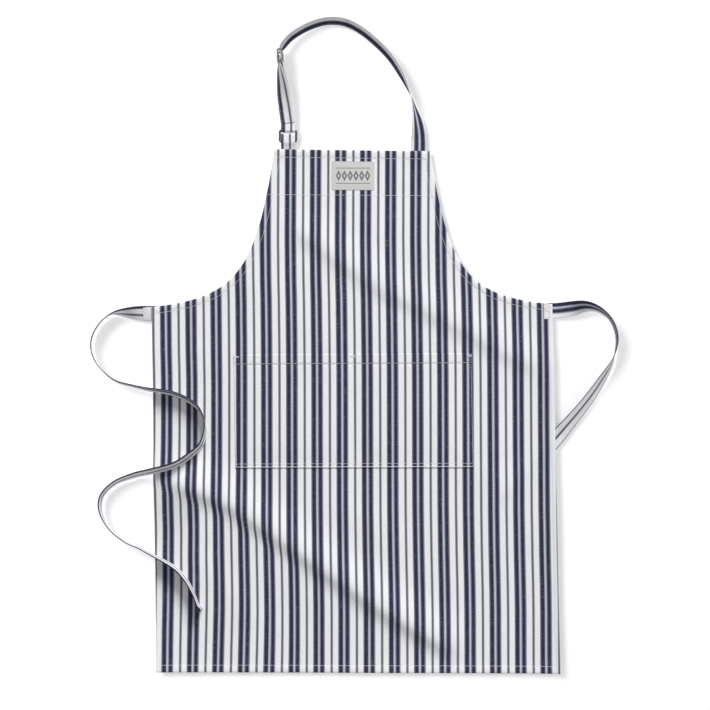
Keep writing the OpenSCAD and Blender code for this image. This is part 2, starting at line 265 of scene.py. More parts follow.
class Nodes:
    """Short way to build a material's node tree."""

    def __init__(self, name):
        self.material = bpy.data.materials.new(name)
        self.material.use_nodes = True
        self.tree = self.material.node_tree
        self.tree.nodes.clear()
        self.shader = self.add("ShaderNodeBsdfPrincipled")
        out = self.add("ShaderNodeOutputMaterial")
        self.link(self.shader.outputs[0], out.inputs[0])

    def add(self, kind, **values):
        node = self.tree.nodes.new(kind)
        for key, value in values.items():
            setattr(node, key, value)
        return node

    def link(self, a, b):
        self.tree.links.new(a, b)

    def put(self, socket, value):
        if isinstance(value, bpy.types.NodeSocket):
            self.link(value, socket)
        else:
            socket.default_value = value

    def math(self, operation, a, b=0.0, c=0.0, clamp=False):
        node = self.add("ShaderNodeMath", operation=operation, use_clamp=clamp)
        for socket, value in zip(node.inputs, (a, b, c)):
            self.put(socket, value)
        return node.outputs[0]

    def scaled(self, value, by, plus):
        return self.math("MULTIPLY_ADD", value, by, plus)

    def times(self, *values):
        product = values[0]
        for value in values[1:]:
            product = self.math("MULTIPLY", product, value)
        return product

    def surface(self, values):
        """Sets plain values of the shader, by the names of its inputs."""
        for name, value in values.items():
            self.shader.inputs[name].default_value = value

    def cut(self):
        """Place on the cut cloth in metres: across the stripes, and along them."""
        uv = self.add("ShaderNodeUVMap", uv_map="Cut")
        parts = self.add("ShaderNodeSeparateXYZ")
        self.link(uv.outputs[0], parts.inputs[0])
        return parts.outputs[0], parts.outputs[1]

    def vector(self, x, y, z=0.0):
        node = self.add("ShaderNodeCombineXYZ")
        for socket, value in zip(node.inputs, (x, y, z)):
            self.put(socket, value)
        return node.outputs[0]

    def noise(self, vector, scale, detail=2.0, rough=0.5):
        node = self.add("ShaderNodeTexNoise")
        self.put(node.inputs["Vector"], vector)
        node.inputs["Scale"].default_value = scale
        node.inputs["Detail"].default_value = detail
        node.inputs["Roughness"].default_value = rough
        return node.outputs[0]

    def grain(self, u, v, u_scale, v_scale, detail=2.0, rough=0.5):
        """Noise that is finer across one direction of the cloth than the other."""
        return self.noise(self.vector(self.times(u, u_scale), self.times(v, v_scale)), 1.0, detail, rough)

    def mix(self, factor, a, b, blend="MIX"):
        node = self.add("ShaderNodeMix", data_type="RGBA", blend_type=blend)
        self.put(node.inputs[0], factor)
        self.put(node.inputs[6], a)
        self.put(node.inputs[7], b)
        return node.outputs[2]

    def shaded(self, colour, shade):
        """The colour times one value."""
        return self.mix(1.0, colour, self.vector(shade, shade, shade), "MULTIPLY")

    def ramp(self, factor, stops):
        node = self.add("ShaderNodeValToRGB")
        elements = node.color_ramp.elements
        elements[0].position, elements[0].color = stops[0]
        elements[1].position, elements[1].color = stops[-1]
        for position, colour in stops[1:-1]:
            elements.new(position).color = colour
        self.link(factor, node.inputs[0])
        return node.outputs[0]

    def bump(self, height, strength, distance):
        node = self.add("ShaderNodeBump")
        node.inputs["Strength"].default_value = strength
        node.inputs["Distance"].default_value = distance
        self.link(height, node.inputs["Height"])
        self.link(node.outputs[0], self.shader.inputs["Normal"])


# Bands of the ticking stripe across one repeat: where each starts, in millimetres
BANDS = [(0.5, NAVY), (5.8, MIXED), (6.9, GAP), (9.7, MIXED), (11.2, NAVY), (15.8, MIXED),
         (17.1, PALE_MIX), (18.2, WHITE), (26.8, PALE_MIX), (27.8, THIN), (30.2, PALE_MIX),
         (31.4, WHITE), (39.6, MIXED)]
YARN_U = 0.00074  # spacing of the warp yarns, which run along the stripes
YARN_V = 0.00088  # spacing of the weft yarns
BAND_BLEND = 0.3  # half the width of the soft edge between two bands, in millimetres


def stripe_stops():
    """Colour stops for one repeat, with soft edges between the bands."""
    stops = [(0.0, MIXED)]
    before = MIXED
    for start, colour in BANDS:
        stops += [((start - BAND_BLEND) / STRIPE, before), ((start + BAND_BLEND) / STRIPE, colour)]
        before = colour
    return stops + [(1.0, MIXED)]


def woven(n, u, v, colour, wear=0.0):
    """Adds yarns, streaks and soft unevenness to a cloth colour, and its bump."""
    warp = n.math("SINE", n.times(u, 2 * math.pi / YARN_U))
    weft = n.math("SINE", n.times(v, 2 * math.pi / YARN_V))
    over = n.times(warp, weft)
    streak = n.grain(u, v, 1100.0, 45.0, 3.0, 0.6)
    slub = n.grain(u, v, 60.0, 900.0)
    patch = n.noise(n.vector(u, v), 14.0, 3.0)
    shade = n.times(n.scaled(streak, 0.27, 0.865), n.scaled(slub, 0.10, 0.95), n.scaled(patch, 0.07, 0.965))
    colour = n.shaded(colour, n.scaled(over, 0.035, shade))
    if wear:
        # Pale weft yarns show through the dark stripes as small flecks.
        fleck = n.math("GREATER_THAN", n.times(streak, slub), 0.34)
        colour = n.mix(n.times(fleck, wear), colour, WHITE)
    n.link(colour, n.shader.inputs["Base Color"])
    height = n.math("ADD", n.math("ABSOLUTE", warp), n.times(weft, 0.6))
    height = n.scaled(streak, 1.2, height)
    n.bump(height, 0.35, 0.00012)
    n.surface({"Roughness": 0.88, "Specular IOR Level": 0.22, "Sheen Weight": 0.08, "Sheen Roughness": 0.5})


def stripe_cloth(name):
    """Woven ticking: navy pairs with a pale line between them, and a thin grey-blue line."""
    n = Nodes(name)
    u, v = n.cut()
    wobble = n.grain(u, v, 500.0, 900.0)
    shift = n.scaled(wobble, 0.0007, -0.00035)
    place = n.math("FRACT", n.math("DIVIDE", n.math("ADD", u, shift), STRIPE * MM))
    woven(n, u, v, n.ramp(place, stripe_stops()), wear=0.10)
    return n.material


def plain_cloth(name, colour):
    n = Nodes(name)
    u, v = n.cut()
    woven(n, u, v, colour)
    return n.material


def thread_material(name, colour):
    """Twisted sewing thread: fine diagonal lines and a slight shine."""
    n = Nodes(name)
    u, v = n.cut()
    ply = n.math("SINE", n.times(n.math("ADD", u, v), 2 * math.pi / 0.0005))
    shade = n.scaled(ply, 0.06, 0.94)
    n.link(n.shaded(colour, shade), n.shader.inputs["Base Color"])
    n.bump(ply, 0.4, 0.00008)
    n.surface({"Roughness": 0.55})
    return n.material


def label_material():
    """Woven label: fine ribs, a darker border and a row of hollow diamonds between two bars."""
    n = Nodes("woven_label")
    u, v = n.cut()
    half_w = (label_high[0] - label_low[0]) / 2 * MM
    half_h = (label_high[1] - label_low[1]) / 2 * MM
    side = n.math("ABSOLUTE", u)
    up = n.math("ABSOLUTE", v)

    pitch = 0.0095  # six diamonds, from 3 pitches left of the middle to 3 pitches right
    cell = n.math("FRACT", n.math("DIVIDE", n.math("ADD", u, pitch * 8.0), pitch))
    cell = n.times(n.math("ABSOLUTE", n.math("SUBTRACT", cell, 0.5)), pitch)
    from_middle = n.math("ADD", cell, n.times(up, 0.50))
    diamond = n.math("LESS_THAN", from_middle, 0.0045)
    hollow = n.math("GREATER_THAN", from_middle, 0.0018)
    row = n.math("LESS_THAN", side, pitch * 3.0)
    bars = n.math("LESS_THAN", n.math("ABSOLUTE", n.math("SUBTRACT", up, 0.0125)), 0.0006)
    motif = n.math("MAXIMUM", n.times(diamond, hollow, row), n.times(bars, row))
    fray = n.grain(u, v, 3000.0, 3000.0)
    motif = n.math("MULTIPLY", motif, n.scaled(fray, 0.5, 0.55), clamp=True)
    border = n.math("MAXIMUM", n.math("GREATER_THAN", side, half_w - 0.0011),
                    n.math("GREATER_THAN", up, half_h - 0.0011))
    rib = n.math("SINE", n.times(v, 2 * math.pi / 0.0006))
    rib_u = n.math("SINE", n.times(u, 2 * math.pi / 0.0008))
    shade = n.scaled(n.times(rib, rib_u), 0.05, 0.96)
    base = n.mix(n.times(border, 0.35), srgb(205, 204, 202), srgb(168, 168, 170))
    base = n.mix(motif, base, srgb(52, 53, 58))
    n.link(n.shaded(base, shade), n.shader.inputs["Base Color"])
    n.bump(n.math("ADD", rib, n.times(motif, 1.5)), 0.4, 0.0001)
    n.surface({"Roughness": 0.6, "Sheen Weight": 0.1})
    return n.material


def metal_material(name, colour, roughness):
    """Plated wire with fine scratches and slight unevenness in its polish."""
    n = Nodes(name)
    place = n.add("ShaderNodeTexCoord").outputs["Object"]
    scratch = n.noise(place, 900.0, 4.0, 0.7)
    cloud = n.noise(place, 120.0, 2.0)
    n.link(n.mix(n.times(cloud, 0.4), colour, [c * 0.75 for c in colour[:3]] + [1]),
           n.shader.inputs["Base Color"])
    n.surface({"Metallic": 1.0})
    rough = n.scaled(scratch, 0.14, roughness - 0.07)
    n.link(rough, n.shader.inputs["Roughness"])
    n.bump(scratch, 0.12, 0.00006)
    return n.material


CLOTH = stripe_cloth("ticking_cloth")
TAPE = stripe_cloth("ticking_tape")
FACING = plain_cloth("facing_cloth", CREAM)
THREAD = thread_material("sewing_thread", srgb(236, 236, 240))
LABEL = label_material()
# The ring and the slider are the same polished nickel. Both base colours are darkened, the ring's far more,
# as painted dark reflection.
RING_METAL = metal_material("nickel_painted_dark_reflection", (0.20, 0.20, 0.22, 1), 0.24)
SLIDER_METAL = metal_material("nickel", (0.42, 0.42, 0.45, 1), 0.26)

# ------------------------------------------------------------------ lie of the cloth
# The apron lies a little askew: how far each height is moved to the right, how much it is
# widened and how much it is turned.
LEAN = ([-541, 61, 319], [4.7, -5.8, -5.0])
WIDEN = ([-541, 61, 319], [0.0055, -0.0012, 0.0])
TILT = ([-541, 61, 319], [-0.0035, 0.0074, -0.0129])

# Two long creases run down to the right across the front
CREASE_UPPER = [(-112, 216), (-75, 180), (-17, 138), (49, 94), (115, 62), (180, 28), (246, -10),
                (325, -48)]
CREASE_LOWER = [(-328, -205), (-289, -224), (-199, -265), (-116, -323), (-34, -381), (49, -438),
                (131, -486), (185, -516)]
# Weak soft folds: ends, width and height
SOFT_FOLDS = [
    ((-60, 160), (-100, -10), 26, 0.9), ((60, 240), (40, 60), 30, 0.7),
    ((-250, 10), (-240, -60), 24, 0.8), ((245, -60), (238, -420), 34, 1.1),
    ((120, -250), (95, -520), 36, 1.0), ((-180, -430), (-200, -535), 28, 1.2),
    ((10, -250), (-10, -360), 30, 0.7), ((300, -260), (290, -520), 22, 1.0),
    ((-290, -330), (-150, -470), 24, 1.2), ((200, 20), (290, 30), 20, 0.8),
    ((160, -215), (300, -235), 26, 0.7), ((-70, -240), (60, -330), 26, 0.8),
    ((-375, -203), (-235, -262), 48, 10.8),
]


def to_line(x, y, points):
    """Distance to a line of points, the share of its length, and on which side (+ is below)."""
    p = np.array(points, float)
    start = distances(p)
    best = np.full(np.shape(x), 1e9)
    share = np.zeros(np.shape(x))
    side = np.zeros(np.shape(x))
    for k in range(len(p) - 1):
        a, d = p[k], p[k + 1] - p[k]
        t = np.clip(((x - a[0]) * d[0] + (y - a[1]) * d[1]) / (d @ d), 0, 1)
        ex, ey = x - a[0] - t * d[0], y - a[1] - t * d[1]
        dist = np.hypot(ex, ey)
        closer = dist < best
        best = np.where(closer, dist, best)
        share = np.where(closer, (start[k] + t * np.hypot(*d)) / start[-1], share)
        side = np.where(closer, np.sign(ex * d[1] - ey * d[0]), side)
    return best, share, side


def fold(x, y, points, width, height, end=0.12, steep=None):
    """Soft raised crease; it can be narrower on its lower side."""
    dist, share, side = to_line(x, y, points)
    reach = np.where(side > 0, steep or width, width)
    taper = smoothstep(share / end) * smoothstep((1 - share) / end)
    return height * np.exp(-(dist / reach) ** 2) * taper


ARM_HULL = np.array([[BIB_HALF, TOP_Y], [BIB_HALF + 31, TOP_Y - 202],
                     [SKIRT_HALF - 140, CORNER_Y + 15], [SKIRT_HALF, CORNER_Y]])


def arm_curve(t):
    t = np.asarray(t, float)[:, None]
    a, b, c, d = ARM_HULL
    return (1 - t) ** 3 * a + 3 * t * (1 - t) ** 2 * b + 3 * t * t * (1 - t) * c + t ** 3 * d


def arm_inset(inset, t):
    """Armhole edge moved inwards by a distance."""
    t = np.asarray(t, float)
    a, b, c, d = ARM_HULL
    tt = t[:, None]
    way = unit((1 - tt) ** 2 * (b - a) + 2 * tt * (1 - tt) * (c - b) + tt * tt * (d - c))
    return arm_curve(t) + inset * np.stack([way[:, 1], -way[:, 0]], axis=1)


ARM_LINE = arm_curve(np.linspace(0, 1, 60))


def edge_distances(x, y):
    """Distances to the side, bottom, top and armhole edges."""
    ax = np.abs(x)
    arm, _, _ = to_line(ax, y, ARM_LINE)
    return SKIRT_HALF - ax, y - BOTTOM_Y, TOP_Y - y, arm


def edge_share(x, y):
    """0 at the cloth's edge and 1 at the stitch row that runs along it."""
    side, bottom, top, arm = edge_distances(x, y)
    return np.minimum.reduce([side / ROW_SIDE, bottom / ROW_BOTTOM, top / ROW_TOP, arm / ROW_ARM])


WAVES = [(rng.uniform(0.012, 0.05), rng.uniform(0, math.pi), rng.uniform(0, 6.3)) for _ in range(14)]


def lift(x, y):
    """How far the lie of the cloth raises it above flat, in millimetres."""
    x, y = np.asarray(x, float), np.asarray(y, float)
    z = fold(x, y, CREASE_UPPER, 34, 4.9, steep=17) + fold(x, y, CREASE_LOWER, 36, 10.5, steep=18)
    for a, b, width, height in SOFT_FOLDS:
        z = z + fold(x, y, [a, b], width, height, 0.3)
    ripple = sum(np.sin(k * (x * math.cos(a) + 0.6 * y * math.sin(a)) + p) for k, a, p in WAVES)
    # The free edges don't lie quite flat.
    side, bottom, top, arm = edge_distances(x, y)
    free = (2.0 + 0.8 * np.sin(y / 47 + 1)) * np.exp(-np.maximum(side, 0) / 30)
    free = free + (3.2 + 1.0 * np.sin(x / 61)) * np.exp(-np.maximum(bottom, 0) / 34)
    free = free + 1.3 * np.exp(-arm / 24) + 0.5 * np.exp(-np.maximum(top, 0) / 16)
    right_edge = smoothstep((x - 200) / 60) * smoothstep((20 - y) / 70)
    free = free + 4.0 * right_edge * np.exp(-np.maximum(side, 0) / 26)
    # What lies behind the cloth pushes it up a little: the tab, the strap's root and the right tie.
    tucked = fold(x, y, [(-111, 345), (-111, 292)], 13, 1.3, 0.4)
    tucked = tucked + fold(x, y, [(104, 345), (104, 292)], 13, 1.3, 0.4)
    tucked = tucked + fold(x, y, [(360, -118), (286, -205), (200, -288)], 17, 1.7, 0.3)
    return np.maximum(z + 0.10 * ripple + free + tucked + 0.25, 0)


def cloth_top(x, y):
    """Height of the front face: the hems are thicker, and the stitch row pulls them in."""
    x, y = np.asarray(x, float), np.asarray(y, float)
    share = edge_share(x, y)
    flat = np.interp(share, [0, 0.5, 0.85, 1.0, 1.2, 1.7],
                     [HEM_TOP_Z - 0.1, HEM_TOP_Z + 0.15, HEM_TOP_Z, CLOTH_Z + 0.15, CLOTH_Z + 0.2, CLOTH_Z])
    near_row = np.exp(-((share - 0.75) / 0.5) ** 2)
    pucker = 0.16 * near_row * np.sin((x + 1.7 * y) / 1.9 + 2.0 * np.sin((x - y) / 23.0))
    top_waves = 0.35 * np.exp(-((TOP_Y - y) / 14) ** 2) * np.sin(x / 7.5 + 1.3 * np.sin(x / 31))
    return flat + lift(x, y) + pucker + top_waves


def askew(x, y):
    """Where a point of the flat cut lies."""
    lean = np.interp(y, *LEAN) + np.interp(y, *WIDEN) * x
    return x + lean, y + np.interp(y, *TILT) * x


def laid(x, y, z):
    """Points of the flat cut with these heights, put where they lie."""
    return np.stack([*askew(x, y), z], axis=1)


def put_on(height, x, y, above=0.0):
    """Points of the flat cut on the surface that a height function gives, or above it."""
    return laid(x, y, height(x, y) + above)


def flat_line(points, spacing):
    """The x and y of evenly spaced places along a line of the flat cut."""
    line = resample(np.array([[q[0], q[1], 0] for q in points], float), spacing)
    return line[:, 0], line[:, 1]


# The stripes drift a little across the panel: their shift and slope at each height
DRIFT = ([-530, -440, -400, -340, -273, -190, -52, 7, 72, 105, 171, 319],
         [14.3, 14.2, 13.7, 12.5, 11.6, 11.3, 11.0, 10.5, 9.7, 8.9, 8.1, 8.6])
SPREAD = ([-530, -300, -50, 100, 300], [0.0125, 0.0115, 0.009, 0.0068, 0.005])


def stripe_place(x, y):
    """Place across the stripes of a point where it lies, in millimetres."""
    drift = np.interp(y, *DRIFT) + np.interp(y, *SPREAD) * x
    dist, _, side = to_line(x, y, CREASE_LOWER)
    below = np.where(side > 0, dist, 0)
    bunch = 2.6 * smoothstep((below - 6) / 26) * (1 - smoothstep((below - 110) / 150))
    bunch = bunch * smoothstep((-40 - x) / 120)
    left = smoothstep((-200 - x) / 80) * smoothstep((10 - y) / 90) * (1 - smoothstep((-300 - y) / 60))
    return x - drift - bunch - left


def outline(share):
    """Closed line at a share of the way from the edge to the stitch row; right half, then left."""
    spacing = 4.0
    top = TOP_Y - ROW_TOP * share
    side = SKIRT_HALF - ROW_SIDE * share
    bottom = BOTTOM_Y + ROW_BOTTOM * share
    t = np.linspace(0, 1, 400)
    arm = arm_inset(ROW_ARM * share, t)
    keep = (arm[:, 1] <= top + 0.01) & (arm[:, 0] <= side + 0.01)
    arm = arm[keep]
    arm[0, 1] = top
    arm[-1, 0] = side

    def run(a, b, count):
        s = np.linspace(0, 1, count, endpoint=False)[:, None]
        return np.array(a) * (1 - s) + np.array(b) * s

    half = np.concatenate([
        run((0, top), arm[0], int(BIB_HALF / spacing)),
        spaced(arm, int(360 / spacing), last=False),
        run(arm[-1], (side, bottom), int((CORNER_Y - BOTTOM_Y) / spacing)),
        run((side, bottom), (0, bottom), int(SKIRT_HALF / spacing)),
        [(0, bottom)],
    ])
    left = half[1:-1][::-1] * [-1, 1]
    return np.concatenate([half, left])


def cloth_uv(verts, faces, shift=0.0):
    """Face corners' places on the cut cloth, from where they lie."""
    verts = np.asarray(verts)
    u = stripe_place(verts[:, 0], verts[:, 1]) - shift
    flat = [k for face in faces for k in face]
    return np.stack([u[flat], verts[flat, 1]], axis=1)


def triangulate(points, edges):
    """Points and triangles of a flat cut that keep to these edges."""
    verts, _, faces, _, _, _ = delaunay_2d_cdt([Vector(p) for p in points], edges, [], 1, 1e-5)
    return np.array([[v.x, v.y] for v in verts]), [list(f) for f in faces]


def closed_edges(start, n):
    return [(start + k, start + (k + 1) % n) for k in range(n)]


def face_up(obj, join=False):
    """Makes the upper side of a mesh its front, after joining the points that meet."""
    bm = bmesh.new()
    bm.from_mesh(obj.data)
    if join:
        bmesh.ops.remove_doubles(bm, verts=bm.verts, dist=0.02 * MM)
        bmesh.ops.recalc_face_normals(bm, faces=bm.faces)
    bm.normal_update()
    if sum(f.normal.z for f in bm.faces) < 0:
        bmesh.ops.reverse_faces(bm, faces=bm.faces)
    bm.to_mesh(obj.data)
    bm.free()


def build_body_cloth():
    """Front panel: dense cloth inside a hem whose edge is turned under."""
    shares = [0.10, 0.35, 0.70, 0.88, 1.0, 1.12, 1.45]
    points, edges = [], []
    for share in shares:
        loop = outline(share)
        edges += closed_edges(len(points), len(loop))
        points += loop.tolist()
    step = 6.0
    xs = np.arange(-SKIRT_HALF, SKIRT_HALF + 1, step)
    ys = np.arange(BOTTOM_Y, TOP_Y + 1, step)
    gx, gy = np.meshgrid(xs, ys)
    gx = gx + np.where(np.arange(len(ys)) % 2, step / 2, 0)[:, None]
    gx, gy = gx.ravel(), gy.ravel()
    inside = in_outline(gx, gy) & (edge_share(gx, gy) > 1.75)
    points += np.stack([gx[inside], gy[inside]], axis=1).tolist()
    flat, top = triangulate(points, edges)
    all_flat, all_z = [flat], [cloth_top(*flat.T)]

    # Turned edge: round the side, then back underneath
    count = len(flat)
    rings = [(0.10, 1.0), (0.03, 0.86), (0.0, 0.5), (0.03, 0.14), (0.10, 0.0), (0.5, 0.0), (0.85, 0.0)]
    strip = []
    n = len(outline(0.0))
    for k, (share, height) in enumerate(rings):
        loop = outline(share)
        high = cloth_top(*loop.T)
        low = UNDER_Z + 0.9 * lift(*loop.T)
        all_flat.append(loop)
        all_z.append(low + (high - low) * height)
        if k:
            a, b = count + (k - 1) * n, count + k * n
            strip += [[a + i, a + (i + 1) % n, b + (i + 1) % n, b + i] for i in range(n)]
    flat = np.concatenate(all_flat)
    verts = laid(*flat.T, np.concatenate(all_z))
    faces = top + strip
    obj = make_object("front_cloth", verts, faces, CLOTH, cloth_uv(verts, faces))
    face_up(obj, join=True)
    return give_thickness(obj, CLOTH_T)


def in_outline(x, y):
    """Whether points of the flat cut are inside its outline."""
    half = np.interp(-y, -ARM_LINE[:, 1], ARM_LINE[:, 0])
    half = np.where(y < CORNER_Y, SKIRT_HALF, half)
    return (np.abs(x) < half) & (y > BOTTOM_Y) & (y < TOP_Y)


def sheet_object(name, outline_points, step, height, material, thickness=CLOTH_T, front_up=True):
    """Flat piece cut to an outline, with its heights given by a function of x and y."""
    loop = np.stack(flat_line(list(outline_points) + [outline_points[0]], step), axis=1)[:-1]
    x0, y0 = loop.min(0)
    x1, y1 = loop.max(0)
    gx, gy = np.meshgrid(np.arange(x0 + step / 2, x1, step), np.arange(y0 + step / 2, y1, step))
    gx, gy = gx.ravel(), gy.ravel()
    dist, _, _ = to_line(gx, gy, np.concatenate([loop, loop[:1]]))
    near = dist > step * 0.45
    points = loop.tolist() + np.stack([gx[near], gy[near]], axis=1).tolist()
    flat, faces = triangulate(points, closed_edges(0, len(loop)))
    verts = put_on(height, *flat.T)
    faces = [f if front_up else f[::-1] for f in faces]
    obj = make_object(name, verts, faces, material, cloth_uv(verts, faces))
    return give_thickness(obj, thickness)


# ------------------------------------------------------------------ stitches
def along_line(line, s, at):
    """The line's value at a distance along it, where s holds its points' distances."""
    return np.array([np.interp(at, s, line[:, k]) for k in range(3)])


def stitch_mesh(name, lines, pitch=2.8, length=2.4, radius=0.34, sink=0.2, ups=None):
    """Rows of single stitches as one mesh. Each line is a row of points on a surface that faces
    straight up, or the way that the matching row of ups says."""
    # Each ring's place along the stitch, its size and how far it drops towards the cloth
    rings = [(-0.5, 0.25, -1.0), (-0.36, 0.85, -0.25), (0.0, 1.0, 0.0), (0.36, 0.85, -0.25),
             (0.5, 0.25, -1.0)]
    sides = 6
    verts, faces = [], []
    for number, line in enumerate(lines):
        line = np.asarray(line, float)
        s = distances(line)
        if s[-1] < pitch:
            continue
        for at in np.arange(pitch / 2, s[-1] - pitch / 3, pitch):
            tail, centre, tip = [along_line(line, s, at + e * length) for e in (-0.5, 0, 0.5)]
            up = np.array([0.0, 0.0, 1.0]) if ups is None else along_line(ups[number], s, at)
            way = tip - tail
            way /= np.linalg.norm(way)
            side = np.cross(way, up)
            side /= np.linalg.norm(side)
            up = np.cross(side, way)
            start = len(verts)
            for along, size, drop in rings:
                middle = centre + way * along * length + up * (drop * sink)
                for k in range(sides):
                    a = 2 * math.pi * k / sides
                    verts.append(middle + radius * size * (math.cos(a) * side + math.sin(a) * up))
            for r in range(len(rings) - 1):
                for k in range(sides):
                    a, b = start + r * sides + k, start + r * sides + (k + 1) % sides
                    faces.append([a, a + sides, b + sides, b])
            last = start + (len(rings) - 1) * sides
            faces.append([start + k for k in range(sides)])
            faces.append([last + k for k in range(sides)][::-1])
    verts = np.array(verts)
    flat = [k for face in faces for k in face]
    uvs = np.stack([verts[flat, 0] + verts[flat, 2], verts[flat, 1]], axis=1)
    return make_object(name, verts, faces, THREAD, uvs)


def on_cloth(points, above=0.12):
    """Flat-cut points put on the front face of the cloth."""
    return put_on(cloth_top, *flat_line(points, 1.5), above)


# ------------------------------------------------------------------ tapes
def tape_profile():
    """Closed section of a strip folded lengthwise: (place across, place through, side), fold at +."""
    half, t = TAPE_W / 2, TAPE_T / 2
    # The dip near the open edge is the stitch row.
    face = [(-half, 0.92), (-half + 1.0, 1.0), (-half + TAPE_ROW, 0.82), (-half + 2.7, 1.0), (-4, 0.94),
            (4, 0.94), (half - 1.6, 1.0), (half - 0.5, 0.82)]
    lower = [(a, -t * b, -1) for a, b in face]
    upper = [(a, t * b, 1) for a, b in face[::-1]]
    return lower + [(half, 0.0, 0)] + upper + [(-half, 0.10, 1), (-half + 0.5, 0.0, 0), (-half, -0.10, -1)]


def tape_frames(route, support=None, cups=None, widths=None):
    """Where a tape's middle runs, which way its folded edge and its face point, and its section."""
    cups = cups or [[0, 0]] * len(route)
    widths = widths or [1] * len(route)
    p = smooth_route([[*q, *c, w] for q, c, w in zip(route, cups, widths)], 3.0)
    way = unit(np.gradient(p[:, :2], axis=0))
    zeros = np.zeros(len(p))
    side = np.stack([way[:, 1], -way[:, 0], zeros], axis=1)
    twist = np.radians(p[:, 3])[:, None]
    upward = np.stack([zeros, zeros, zeros + 1], axis=1)
    across = np.cos(twist) * side + np.sin(twist) * upward
    through = np.cos(twist) * upward - np.sin(twist) * side
    low = p[:, 2] if support is None else support(p)
    frames = {"across": across, "through": through, "cup": np.radians(p[:, -3:-1]), "width": p[:, -1],
              "thick": zeros + 1, "middle": np.zeros_like(across), "route": p}
    corners = [(a, b) for a in np.linspace(-TAPE_W / 2, TAPE_W / 2, 9) for b in (-TAPE_T / 2, TAPE_T / 2)]
    lowest = np.min([on_tape(frames, a, b)[:, 2] for a, b in corners], axis=0)
    frames["middle"] = np.stack([p[:, 0], p[:, 1], low - lowest], axis=1)
    return frames


def bend_at(frames, a):
    """How far the tape has turned out of line at a place across it."""
    out = smoothstep((np.abs(a) - 0.5) / 8.0)
    return frames["cup"][:, 1] * out if a > 0 else -frames["cup"][:, 0] * out


def on_tape(frames, a, b):
    """Line along the tape at a place across it and through it."""
    steps = np.linspace(0, a, 13)
    middles = (steps[1:] + steps[:-1]) / 2
    turns = [bend_at(frames, m) for m in middles]
    size = a / len(middles)
    along = sum(np.cos(t) for t in turns) * size * frames["width"]
    out = sum(np.sin(t) for t in turns) * size
    return (frames["middle"] + along[:, None] * frames["across"] + out[:, None] * frames["through"]
            + b * tape_normal(frames, bend_at(frames, a)))


def tape_normal(frames, turn):
    turn = turn[:, None]
    return frames["thick"][:, None] * (np.cos(turn) * frames["through"] - np.sin(turn) * frames["across"])


def part_of(frames, start, stop):
    """Part of a tape, between two of its points."""
    return {key: value[start:stop] for key, value in frames.items()}


def tape_object(name, frames, fold_phase, way_up, v0=0.0):
    """Sweeps the tape's section. The stripe place runs from fold_phase at the fold, down on the
    face that way_up (1 or -1) names and up on the other."""
    profile = tape_profile()
    n = len(profile)
    rings = np.stack([on_tape(frames, a, b) for a, b, _ in profile], axis=1)
    count = len(rings)
    along = v0 + distances(frames["middle"])

    def place(k, side):
        return fold_phase - side * way_up * (TAPE_W / 2 - profile[k][0])

    faces, uvs = [], []
    for i in range(count - 1):
        for k in range(n):
            m = (k + 1) % n
            side = profile[k][2] or profile[m][2]
            start = i * n
            faces.append([start + k, start + m, start + n + m, start + n + k])
            uvs += [(place(k, side), along[i]), (place(m, side), along[i]),
                    (place(m, side), along[i + 1]), (place(k, side), along[i + 1])]
    last = (count - 1) * n
    for face in (list(range(n))[::-1], [last + k for k in range(n)]):
        faces.append(face)
        uvs += [(fold_phase, along[0])] * n
    return make_object(name, rings.reshape(-1, 3), faces, TAPE, uvs)


def tape_stitches(name, frames):
    """The row of stitches along the tape's open edge, on both of its faces."""
    a = -TAPE_W / 2 + TAPE_ROW
    turn = bend_at(frames, a)
    lines = [on_tape(frames, a, b) for b in (-0.62, 0.62)]
    ups = [sign * tape_normal(frames, turn) for sign in (-1, 1)]
    return stitch_mesh(name, lines, pitch=3.2, length=2.3, radius=0.27, sink=0.15, ups=ups)


def resting(p):
    """Height that a tape on its edge rests at: the floor, or the cloth where it lies on that."""
    x, y = p[:, 0], p[:, 1]
    over = in_outline(x + 5 * np.sign(x), y) | in_outline(x - 5 * np.sign(x), y)
    ground = np.where(over, cloth_top(x, y) + 0.25, 0.35)
    wide = np.array([ground[max(0, i - 4):i + 5].max() for i in range(len(ground))])
    kernel = np.hanning(11)
    return np.convolve(np.pad(wide, 5, mode="edge"), kernel / kernel.sum(), mode="valid")


# The ties come first, as free tapes of known length. The left one ends in a thick turned hem.
LEFT_ROOT_Y = 38      # above this the left tie keeps its route's own height
LEFT_PHASE = 3.7      # places across the stripes at the folded edges
RIGHT_PHASE = 0.3
left_frames = tape_frames(LEFT_TIE, lambda p: np.where(p[:, 1] > LEFT_ROOT_Y, p[:, 2], resting(p)))
left_count = len(left_frames["thick"])
left_frames["thick"] = 1 + 4 * smoothstep((np.arange(left_count) - left_count + 4) / 1.5)
right_frames = tape_frames(RIGHT_TIE)
tie_left = tape_object("tie_left_tape", left_frames, LEFT_PHASE, 1)
tie_right = tape_object("tie_right_tape", right_frames, RIGHT_PHASE, 1)
tie_left_thread = tape_stitches("tie_left_stitches", left_frames)
tie_right_thread = tape_stitches("tie_right_stitches", right_frames)

